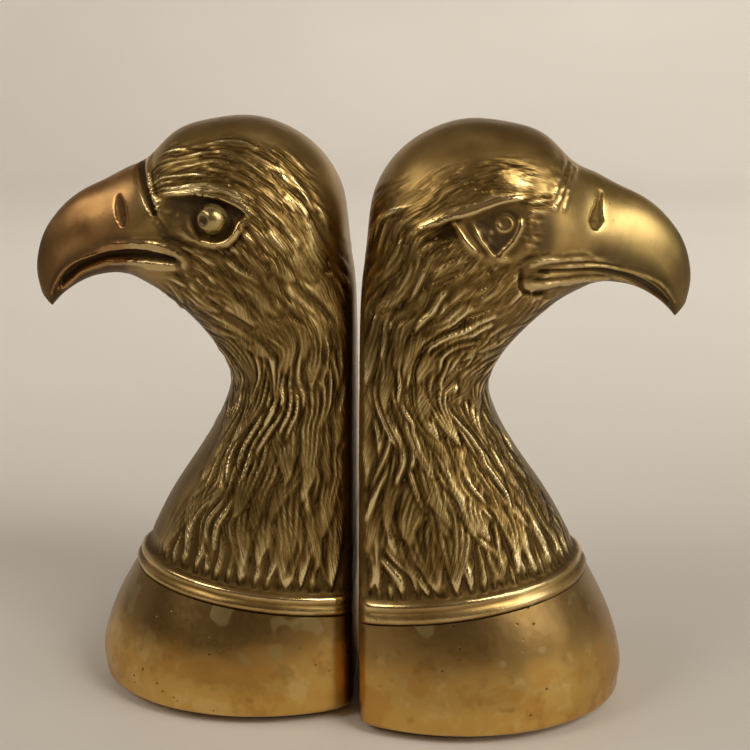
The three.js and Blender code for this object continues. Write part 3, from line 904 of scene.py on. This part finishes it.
def eagle_shape():
    """The worked casting in its own frame: points, faces and the material's fields."""
    at = bird_steps()
    base, rear, front = ring_rows(BIRD, at, HALF_RING, squareness=head_squareness)
    normal = ring_normals(base)
    columns = 2 * HALF_RING
    height = np.zeros(base.shape[:2])
    mask = np.zeros_like(height)
    patina_and_painted_shade = np.zeros_like(height)
    polish = np.zeros_like(height)
    barb = np.zeros((*height.shape, 3))
    halves = {"A": np.arange(0, HALF_RING + 1),
              "B": np.concatenate([[0], np.arange(columns - 1, HALF_RING - 1, -1)])}
    for kind, face, seed in (("A", FACE_A, 11), ("B", FACE_B, 47)):
        pick = halves[kind]
        flank = Flank(at, base[:, pick], rear[:, pick], front[:, pick], seed)
        worked, feathery, dark, bright = work_flank(flank, face, kind)
        flat = smooth(0.7, 2.4, flank.rear + 1.5 * smooth(88.0, 100.0, flank.b))
        crest = smooth(0.0, 0.5, flank.front) * smooth(0.0, 0.8, flank.rear)
        collar = collar_profile(flank.b)
        worked = (worked - collar) * flat * crest + collar * flat
        height[:, pick] = worked
        mask[:, pick] = feathery * flat
        patina_and_painted_shade[:, pick] = dark
        polish[:, pick] = bright
        barb[:, pick, 0] = flank.across * flank.scale
        barb[:, pick, 1] = flank.b
    height = softened(height)
    points = base + normal * height[:, :, None]
    points[:, :, 0] = np.maximum(points[:, :, 0], 0.0)
    hollow = height - blur(height, 3, 6)
    relief = np.clip(0.5 + hollow / 0.8, 0, 1)
    patina_and_painted_shade = softened(patina_and_painted_shade) * (1 - 0.7 * smooth(0.56, 0.85, relief))
    patina_and_painted_shade = np.clip(patina_and_painted_shade, 0, 1)

    inner_inset = WALL + JOINT_GAP + 0.7 * WALL
    seam = ring_rows([SEAM, BIRD[1]], np.array([0.0]), HALF_RING, WALL + JOINT_GAP)[0]
    inner = ring_rows([SEAM, BIRD[1]], np.array([0.0]), HALF_RING, inner_inset)[0]
    _, run = section_table(BIRD)
    cavity = ring_rows(BIRD, run[2:14:2], HALF_RING, 1.5 * WALL, squareness=head_squareness)[0]
    inside = [cavity[::-1], inner, dropped(inner, SPIGOT_DEPTH), dropped(seam, SPIGOT_DEPTH), seam]
    rings = np.concatenate([*inside, points])
    skin, faces = closed_skin(rings)
    inner_count = sum(len(part) for part in inside) * columns

    def field(values, fill):
        lead = np.full((inner_count, *values.shape[2:]), fill)
        tail = np.full((2, *values.shape[2:]), fill)
        return np.concatenate([lead, values.reshape(-1, *values.shape[2:]), tail])

    beak = smooth(run[CERE_SECTION] - 4, run[CERE_SECTION] + 3, at)
    beak = np.repeat(beak[:, None], columns, axis=1)
    fields = {"relief": field(relief, 0.5), "feathery": field(mask, 0.0), "beak": field(beak, 0.0)}
    fields["patina_and_painted_shade"] = field(patina_and_painted_shade, 0.6)
    fields["polish"] = field(polish, 0.0)
    fields["barb"] = field(barb, 0.0)
    return skin, faces, fields


def build_eagle(side, shape):
    """One eagle casting, from the shape that both of them share."""
    points, faces, fields = shape
    casting = new_mesh_object(f"{side}_eagle", place(points, side, COLLAR_LIFT[side]), faces, 75.0)
    for name, values in fields.items():
        add_attribute(casting, name, values, "FLOAT_VECTOR" if name == "barb" else "FLOAT")
    return casting


def build_plinth(side):
    """The flared foot: an outer skin with softly rounded edges, and the hollow inside it."""
    _, run = section_table(PLINTH)
    outer = ring_rows(PLINTH, np.linspace(0, run[-1], 64), PLINTH_HALF_RING)[0]
    normal = ring_normals(outer)
    x, y, z = outer[:, :, 0], outer[:, :, 1], outer[:, :, 2]
    uneven = 0.22 * value_noise(x / 17.0 + 2.0, (y + z) / 14.0, 5 if side == "left" else 8) \
        + 0.08 * value_noise(x / 6.0, (y - z) / 7.0, 6)
    flat = smooth(0.2, 4.0, x)
    outer = outer + normal * (uneven * flat * smooth(RIM_Z, 6.0, z))[:, :, None]
    inner_top = ring_rows(PLINTH, run[-1:], PLINTH_HALF_RING, WALL)[0]
    walls = ring_rows(PLINTH, run[7:3:-1], PLINTH_HALF_RING, WALL)[0]
    ledge_z = BOARD_THICKNESS + JOINT_GAP
    rim = np.array([0.0])
    ledge = dropped(ring_rows(PLINTH, rim, PLINTH_HALF_RING, BOARD_INSET + LEDGE)[0], -ledge_z)
    seat = ring_rows(PLINTH, rim, PLINTH_HALF_RING, BOARD_INSET - JOINT_GAP)[0]
    rings = np.concatenate([outer, inner_top, walls, ledge, dropped(seat, -ledge_z), seat])
    rows, columns = rings.shape[:2]
    faces = [skin_faces(rows, columns)]
    last = (rows - 1) * columns
    c = np.arange(columns)
    n = (c + 1) % columns
    faces.append(np.stack([last + c, last + n, n, c], axis=1))
    points = place(rings.reshape(-1, 3), side, COLLAR_LIFT[side])
    return new_mesh_object(f"{side}_plinth", points, faces, 40.0)


def drawn_in(ring, share):
    """A level ring drawn in towards its middle."""
    middle = ring.mean(axis=1, keepdims=True)
    return middle + (ring - middle) * share


def flat_d(side, name, inset, bottom, thickness, edge_round):
    """A flat D-shaped piece cut to the plinth's rim, with slightly rounded edges."""
    rim = np.array([0.0])
    rings = []
    for share, pull in ((0.0, 1.0), (0.25, 0.25), (0.5, 0.0), (0.75, 0.25), (1.0, 1.0)):
        ring = ring_rows(PLINTH, rim, FLAT_HALF_RING, inset + edge_round * pull)[0]
        rings.append(dropped(ring, RIM_Z - bottom - thickness * share))
    under = [drawn_in(rings[0], share) for share in (0.2, 0.5, 0.8)]
    over = [drawn_in(rings[-1], share) for share in (0.8, 0.5, 0.2)]
    points, faces = closed_skin(np.concatenate([*under, *rings, *over]))
    return new_mesh_object(name, place(points, side, 0.0), faces, 40.0)


# ---- materials -----------------------------------------------------------------------------------

class Nodes:
    """A small helper for writing the node tree of a material or of the world."""

    def __init__(self, owner):
        self.owner = owner
        owner.use_nodes = True
        self.tree = owner.node_tree
        self.tree.nodes.clear()

    def add(self, kind, **settings):
        node = self.tree.nodes.new(kind)
        for key, value in settings.items():
            setattr(node, key, value)
        return node

    def link(self, start, end):
        self.tree.links.new(start, end)

    def feed(self, node, socket, value):
        """Links another node's output to a socket, or sets the socket to a plain value."""
        if isinstance(value, bpy.types.NodeSocket):
            self.link(value, node.inputs[socket])
        else:
            node.inputs[socket].default_value = value

    def attribute(self, name, output="Fac"):
        return self.add("ShaderNodeAttribute", attribute_name=name).outputs[output]

    def place(self):
        return self.add("ShaderNodeTexCoord").outputs["Object"]

    def noise(self, scale, detail=3.0, rough=0.55, vector=None, distortion=0.0):
        node = self.add("ShaderNodeTexNoise")
        self.feed(node, "Vector", self.place() if vector is None else vector)
        for socket, value in (("Scale", scale), ("Detail", detail), ("Roughness", rough),
                              ("Distortion", distortion)):
            node.inputs[socket].default_value = value
        return node.outputs["Fac"]

    def pits(self, scale, low, high, area):
        """1 in small round pits and 0 between them, over the given area."""
        node = self.add("ShaderNodeTexVoronoi")
        self.feed(node, "Vector", self.place())
        node.inputs["Scale"].default_value = scale
        return self.math("MULTIPLY", self.span(node.outputs["Distance"], low, high, 1.0, 0.0), area)

    def math(self, operation, a, b=0.0, c=0.0, clamp=False):
        node = self.add("ShaderNodeMath", operation=operation, use_clamp=clamp)
        for i, value in enumerate((a, b, c)):
            self.feed(node, i, value)
        return node.outputs[0]

    def swing(self, value, share, base):
        """Adds to base a share of how far value is above or below one half."""
        return self.math("MULTIPLY_ADD", self.math("SUBTRACT", value, 0.5), share, base)

    def span(self, value, low, high, to_low=0.0, to_high=1.0):
        node = self.add("ShaderNodeMapRange", interpolation_type="SMOOTHSTEP")
        for socket, given in (("Value", value), ("From Min", low), ("From Max", high),
                              ("To Min", to_low), ("To Max", to_high)):
            self.feed(node, socket, given)
        return node.outputs[0]

    def ramp(self, value, stops):
        node = self.add("ShaderNodeValToRGB")
        elements = node.color_ramp.elements
        while len(elements) < len(stops):
            elements.new(0.5)
        for element, (position, colour) in zip(elements, stops):
            element.position = position
            element.color = (*colour, 1.0)
        self.feed(node, "Fac", value)
        return node.outputs["Color"]

    def mix(self, factor, a, b):
        node = self.add("ShaderNodeMix", data_type="RGBA")
        sockets = [s for s in node.inputs if s.enabled and s.type in ("VALUE", "RGBA")]
        for socket, value in zip(sockets, (factor, a, b)):
            if isinstance(value, bpy.types.NodeSocket):
                self.link(value, socket)
            elif socket.type == "RGBA":
                socket.default_value = (*value, 1.0)
            else:
                socket.default_value = value
        return next(s for s in node.outputs if s.enabled)

    def bump(self, height, strength, distance, normal=None):
        node = self.add("ShaderNodeBump")
        node.inputs["Strength"].default_value = strength
        node.inputs["Distance"].default_value = distance
        self.link(height, node.inputs["Height"])
        if normal is not None:
            self.link(normal, node.inputs["Normal"])
        return node.outputs["Normal"]

    def surface(self, colour, roughness, metallic, normal, **extra):
        shader = self.add("ShaderNodeBsdfPrincipled")
        for socket, value in (("Base Color", colour), ("Roughness", roughness),
                              ("Metallic", metallic), ("Normal", normal)):
            self.feed(shader, socket, value)
        for socket, value in extra.items():
            shader.inputs[socket].default_value = value
        output = self.add("ShaderNodeOutputMaterial")
        self.link(shader.outputs[0], output.inputs["Surface"])
        return self.owner


def material_nodes(name):
    return Nodes(bpy.data.materials.new(name))


def eagle_brass(copper):
    """Antiqued brass: nearly black in the hollows, olive on the flanks, rubbed gold on the ridges, with
    painted shade in the mouth's slit, the eye socket and the drilled pupil.
    """
    n = material_nodes(f"eagle_brass_{'copper' if copper else 'gold'}")
    relief = n.attribute("relief")
    feathery = n.attribute("feathery")
    beak = n.attribute("beak")
    patches = n.noise(70, 3.0)
    fine = n.noise(900, 4.0, 0.65)
    worn = n.swing(patches, 0.35, relief)
    worn = n.swing(fine, 0.18, worn)
    stretch = n.add("ShaderNodeMapping")
    stretch.inputs["Scale"].default_value = (1.7, 0.13, 1.0)
    n.link(n.attribute("barb", "Vector"), stretch.inputs["Vector"])
    hairs = n.noise(1.0, 2.0, 0.5, vector=stretch.outputs[0])
    worn = n.swing(hairs, 0.55, worn)
    feather_colour = n.ramp(worn, [
        (0.15, (0.034, 0.019, 0.005)), (0.40, (0.13, 0.078, 0.022)), (0.58, (0.27, 0.17, 0.054)),
        (0.74, (0.52, 0.375, 0.15)), (0.90, (0.82, 0.66, 0.35)),
    ])
    smooth_colour = n.ramp(n.swing(relief, 0.9, patches), [
        (0.20, (0.25, 0.155, 0.05)), (0.45, (0.40, 0.26, 0.09)), (0.66, (0.50, 0.34, 0.13)),
        (0.90, (0.74, 0.55, 0.26)),
    ])
    beak_stops = [(0.30, (0.26, 0.135, 0.05)), (0.6, (0.56, 0.32, 0.125))] if copper else \
        [(0.30, (0.36, 0.24, 0.08)), (0.6, (0.66, 0.47, 0.18))]
    beak_colour = n.ramp(n.swing(relief, 1.1, patches), beak_stops)
    colour = n.mix(feathery, smooth_colour, feather_colour)
    colour = n.mix(beak, colour, beak_colour)
    pits = n.pits(420, 0.05, 0.12, n.span(n.noise(95, 2.0), 0.52, 0.62))
    pits = n.math("MULTIPLY", pits, n.math("SUBTRACT", 1.0, feathery))
    colour = n.mix(n.math("MULTIPLY", pits, 0.8), colour, (0.035, 0.022, 0.01))
    patina_and_painted_shade = n.attribute("patina_and_painted_shade")
    polish = n.attribute("polish")
    # Darkened by the field from the mesh: patina, with painted shade in the slit, the socket and the
    # pupil, and a touch of painted reflection on the crown.
    colour = n.mix(n.math("MULTIPLY", patina_and_painted_shade, 0.92), colour, (0.050, 0.028, 0.009))
    colour = n.mix(polish, colour, (0.50, 0.39, 0.17))
    roughness = n.math("MULTIPLY_ADD", n.math("SUBTRACT", 0.6, relief), 0.4, 0.27)
    roughness = n.math("MULTIPLY_ADD", patina_and_painted_shade, 0.14, roughness)
    roughness = n.math("MULTIPLY_ADD", polish, 0.10, roughness)
    roughness = n.math("MULTIPLY_ADD", fine, 0.12, roughness, clamp=True)
    metallic = n.span(patina_and_painted_shade, 0.5, 1.0, 1.0, 0.7)
    normal = n.bump(n.math("MULTIPLY", hairs, feathery), 0.6, 0.0006)
    normal = n.bump(n.noise(1600, 3.0, 0.6), 0.12, 0.0003, normal)
    normal = n.bump(n.math("MULTIPLY", pits, -1.0), 0.25, 0.0002, normal)
    return n.surface(colour, roughness, metallic, normal)


def plinth_brass():
    """Smooth cast brass with pits and grey-green tarnish patches, and painted reflection: darker on the
    upper band, brighter low down.
    """
    n = material_nodes("plinth_brass")
    height = n.add("ShaderNodeSeparateXYZ")
    n.link(n.place(), height.inputs[0])
    patches = n.noise(38, 3.0)
    # Painted reflection: the colour darkens up the plinth. The upper band stands for the dim room above
    # mirrored in the brass, and the low part for the pale floor.
    band = n.swing(patches, 0.016, height.outputs["Z"])
    colour = n.ramp(n.span(band, 0.004, 0.036), [
        (0.0, (0.62, 0.385, 0.105)), (0.45, (0.56, 0.345, 0.10)), (0.75, (0.34, 0.21, 0.068)),
        (1.0, (0.29, 0.18, 0.065)),
    ])
    tarnish = n.span(n.noise(105, 1.5, 0.4), 0.60, 0.63, 0.0, 0.42)
    tarnish = n.math("MULTIPLY", tarnish, n.span(height.outputs["Z"], 0.012, 0.022))
    colour = n.mix(tarnish, colour, (0.42, 0.36, 0.17))
    mottle = n.noise(90, 3.0, 0.55, distortion=0.15)
    low_part = n.span(height.outputs["Z"], 0.030, 0.016)
    warm = n.math("MULTIPLY", n.span(mottle, 0.50, 0.62, 0.0, 0.6), low_part)
    colour = n.mix(warm, colour, (0.50, 0.25, 0.055))
    pale = n.math("MULTIPLY", n.span(mottle, 0.46, 0.34, 0.0, 0.5), low_part)
    colour = n.mix(pale, colour, (0.74, 0.54, 0.22))
    stains = n.span(n.noise(150, 2.0, 0.6), 0.58, 0.72, 0.0, 0.35)
    colour = n.mix(stains, colour, (0.22, 0.125, 0.035))
    pits = n.pits(250, 0.06, 0.14, n.span(n.noise(75, 1.0), 0.49, 0.56))
    colour = n.mix(n.math("MULTIPLY", pits, 0.8), colour, (0.06, 0.036, 0.014))
    fine = n.noise(700, 3.0, 0.6)
    roughness = n.math("MULTIPLY_ADD", fine, 0.14, 0.24)
    roughness = n.math("MULTIPLY_ADD", tarnish, 0.2, roughness)
    normal = n.bump(n.noise(130, 2.0), 0.10, 0.0015)
    normal = n.bump(fine, 0.06, 0.0004, normal)
    normal = n.bump(n.math("MULTIPLY", pits, -1.0), 0.3, 0.0003, normal)
    return n.surface(colour, roughness, 1.0, normal)


def felt_cloth():
    n = material_nodes("green_felt")
    fibres = n.noise(2600, 4.0, 0.7)
    clumps = n.noise(320, 3.0)
    mixed = n.math("MULTIPLY_ADD", clumps, 0.6, n.math("MULTIPLY", fibres, 0.5))
    colour = n.ramp(mixed, [(0.3, (0.012, 0.035, 0.018)), (0.75, (0.035, 0.095, 0.05))])
    return n.surface(colour, 0.95, 0.0, n.bump(fibres, 0.5, 0.0006), **{"Sheen Weight": 0.4})


def hardboard():
    n = material_nodes("hardboard")
    chips = n.noise(500, 4.0, 0.7)
    colour = n.ramp(chips, [(0.3, (0.10, 0.055, 0.025)), (0.7, (0.20, 0.12, 0.06))])
    return n.surface(colour, 0.8, 0.0, n.bump(chips, 0.2, 0.0004))


def plain_floor():
    n = material_nodes("pale_floor")
    tone = n.noise(3.0, 2.0)
    colour = n.ramp(tone, [(0.3, (0.80, 0.77, 0.72)), (0.7, (0.84, 0.81, 0.76))])
    return n.surface(colour, 0.55, 0.0, n.bump(n.noise(60, 2.0), 0.02, 0.001))


# ---- the two bookends ------------------------------------------------------------------------------

def finish_piece(piece, material, body, node):
    """Gives a piece its material and its body, and hides the CAD node it replaces."""
    piece.data.materials.append(material)
    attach(piece, body)
    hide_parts(node)


shape = eagle_shape()
brass_for_plinths = plinth_brass()
felt_material = felt_cloth()
board_material = hardboard()
for side in ("left", "right"):
    body = f"{side}_bookend"
    finish_piece(build_eagle(side, shape), eagle_brass(side == "left"), body,
                 f"{side}_eagle_casting")
    finish_piece(build_plinth(side), brass_for_plinths, body, f"{side}_plinth_casting")
    board = flat_d(side, f"{side}_board", BOARD_INSET, RIM_Z, BOARD_THICKNESS, 0.3)
    finish_piece(board, board_material, body, f"{side}_base_board")
    felt = flat_d(side, f"{side}_felt", FELT_INSET, 0.0, FELT_THICKNESS, 0.35)
    finish_piece(felt, felt_material, body, f"{side}_felt_pad")


# ---- stage, light and camera -------------------------------------------------------------------------

FLOOR_REACH = 12.0             # the floor's half width, in metres as all of the stage
WALL_REACH = 4.4               # the wall's half width
WALL_START = 1.3               # how far behind the pair the floor begins to curve up
TURN_RADIUS = 0.6
WALL_TOP = 0.8
CAMERA_PLACE = (0.0183, -0.4533, 0.2016)
CAMERA_PITCH = 13.22           # degrees down
CAMERA_TURN = 1.7              # degrees to the left


def build_stage():
    """A wide floor with a piece of wall that curves up from it well behind the pair."""
    mesh = bpy.data.meshes.new("floor")
    shaped = bmesh.new()
    angles = (math.radians(7.5 * i) for i in range(13))
    turn = [(WALL_START + TURN_RADIUS * math.sin(t), TURN_RADIUS - TURN_RADIUS * math.cos(t))
            for t in angles]
    wall_top = (WALL_START + TURN_RADIUS, WALL_TOP)
    wide = [-FLOOR_REACH, -WALL_REACH, 0.0, WALL_REACH, FLOOR_REACH]
    for line, spots in (([(-FLOOR_REACH, 0.0), (0.0, 0.0), turn[0]], wide),
                        ([*turn, wall_top], wide[1:4])):
        rows = [[shaped.verts.new((x, y, z)) for x in spots] for y, z in line]
        for low, high in zip(rows[:-1], rows[1:]):
            for i in range(len(spots) - 1):
                shaped.faces.new((low[i], low[i + 1], high[i + 1], high[i])).smooth = True
    for near, far in ((-FLOOR_REACH, -WALL_REACH), (WALL_REACH, FLOOR_REACH)):
        corners = [(near, WALL_START), (far, WALL_START), (far, FLOOR_REACH), (near, FLOOR_REACH)]
        shaped.faces.new([shaped.verts.new((x, y, 0.0)) for x, y in corners])
    bmesh.ops.remove_doubles(shaped, verts=shaped.verts, dist=1e-5)
    shaped.to_mesh(mesh)
    shaped.free()
    floor = bpy.data.objects.new("floor", mesh)
    bpy.context.scene.collection.objects.link(floor)
    floor.data.materials.append(plain_floor())


def area_light(name, position, target, size, power, colour, spread=180.0):
    """A rectangular light that faces its target."""
    light = bpy.data.lights.new(name, "AREA")
    light.shape = "RECTANGLE"
    light.size, light.size_y = size
    light.energy = power
    light.color = colour
    light.spread = math.radians(spread)
    lamp = bpy.data.objects.new(name, light)
    lamp.location = position
    lamp.rotation_euler = (Vector(target) - Vector(position)).to_track_quat("-Z", "Y").to_euler()
    bpy.context.scene.collection.objects.link(lamp)


def build_world():
    """A plain room: pale behind the pair and to its right, dim above and in front."""
    world = bpy.data.worlds.new("room")
    bpy.context.scene.world = world
    n = Nodes(world)
    split = n.add("ShaderNodeSeparateXYZ")
    n.link(n.add("ShaderNodeTexCoord").outputs["Generated"], split.inputs[0])
    behind = n.span(split.outputs["Y"], -0.1, 0.75)
    east = n.span(split.outputs["X"], 0.35, 0.95)
    above = n.span(split.outputs["Z"], 0.12, 0.6)
    colour = n.mix(behind, (0.085, 0.063, 0.043), (0.58, 0.52, 0.45))
    colour = n.mix(east, colour, (0.42, 0.39, 0.34))
    colour = n.mix(above, colour, (0.14, 0.108, 0.076))
    background = n.add("ShaderNodeBackground")
    n.link(colour, background.inputs["Color"])
    output = n.add("ShaderNodeOutputWorld")
    n.link(background.outputs[0], output.inputs["Surface"])


def build_camera():
    """Just above the heads' height, a little to the right, looking down at the pair."""
    data = bpy.data.cameras.new("camera")
    data.sensor_width = 36.0
    data.lens = 76.2
    camera = bpy.data.objects.new("camera", data)
    camera.location = CAMERA_PLACE
    camera.rotation_euler = (math.radians(90 - CAMERA_PITCH), 0.0, math.radians(CAMERA_TURN))
    bpy.context.scene.collection.objects.link(camera)
    bpy.context.scene.camera = camera


bpy.context.scene.view_settings.view_transform = "Standard"
build_stage()
build_world()
area_light("key", (1.3, -1.5, 1.9), (0, 0, 0.1), (0.9, 0.9), 20.0, (1.0, 0.92, 0.80))
area_light("window", (1.5, -0.87, 0.87), (0, 0, 0.13), (1.2, 1.1), 9.0, (1.0, 0.97, 0.92))
area_light("fill", (-1.5, -1.1, 1.5), (0, 0, 0.1), (0.8, 0.8), 10.0, (1.0, 0.93, 0.84))
area_light("side", (-1.44, -0.1, 1.32), (0, 0, 0.1), (0.5, 0.5), 2.0, (1.0, 0.96, 0.9))
area_light("wall", (0.55, 0.35, 1.15), (0.45, 1.9, -0.2), (2.4, 0.7), 9.0, (1.0, 0.95, 0.88), 130.0)
build_camera()
